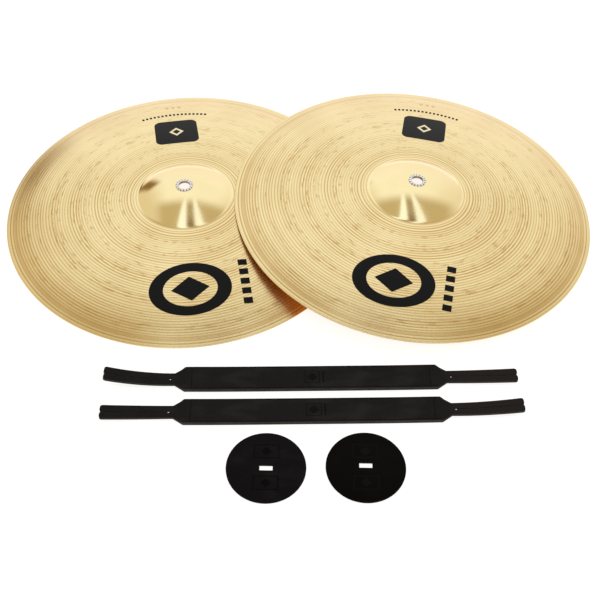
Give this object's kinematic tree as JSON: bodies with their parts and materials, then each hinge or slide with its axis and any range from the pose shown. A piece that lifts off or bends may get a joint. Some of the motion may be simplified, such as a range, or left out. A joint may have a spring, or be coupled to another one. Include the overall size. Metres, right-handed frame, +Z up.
{
  "type": "hand cymbals",
  "caption": "Brass hand cymbals with lathed bows, eyeleted bells, padded leather carrying straps and leather backing pads, laid out with one cymbal leaning on the other.",
  "frame": {"origin": "on the table, under the middle of the whole set", "axes": "+X along the pair of cymbals, +Y from the pads towards the cymbals, +Z up"},
  "size_m": [0.7478, 0.6568, 0.0565],
  "materials": {
    "brass": "lathed, satin",
    "eyelet_metal": "polished nickel",
    "strap_leather": "smooth, semi-matt",
    "pad_leather": "fine grain, semi-matt",
    "felt": "pressed felt",
    "thread": "waxed thread"
  },
  "bodies": {
    "left_cymbal": {"left_cymbal": "brass", "left_eyelet": "eyelet_metal"},
    "right_cymbal": {"right_cymbal": "brass", "right_eyelet": "eyelet_metal"},
    "rear_strap": {"rear_strap_base": "strap_leather", "rear_strap_core": "felt", "rear_strap_cover": "strap_leather", "rear_strap_thread": "thread"},
    "front_strap": {"front_strap_base": "strap_leather", "front_strap_core": "felt", "front_strap_cover": "strap_leather", "front_strap_thread": "thread"},
    "left_pad": {"left_pad": "pad_leather"},
    "right_pad": {"right_pad": "pad_leather"}
  },
  "joints": [
    {"name": "right_cymbal_lift", "type": "slide", "parent": "left_cymbal", "child": "right_cymbal", "axis": [0, 0, 1], "range_m": [0, 0.15]},
    {"name": "rear_strap_lift", "type": "slide", "parent": "left_cymbal", "child": "rear_strap", "axis": [0, 0, 1], "range_m": [0, 0.15]},
    {"name": "front_strap_lift", "type": "slide", "parent": "left_cymbal", "child": "front_strap", "axis": [0, 0, 1], "range_m": [0, 0.15]},
    {"name": "left_pad_lift", "type": "slide", "parent": "left_cymbal", "child": "left_pad", "axis": [0, 0, 1], "range_m": [0, 0.15]},
    {"name": "right_pad_lift", "type": "slide", "parent": "left_cymbal", "child": "right_pad", "axis": [0, 0, 1], "range_m": [0, 0.15]}
  ]
}
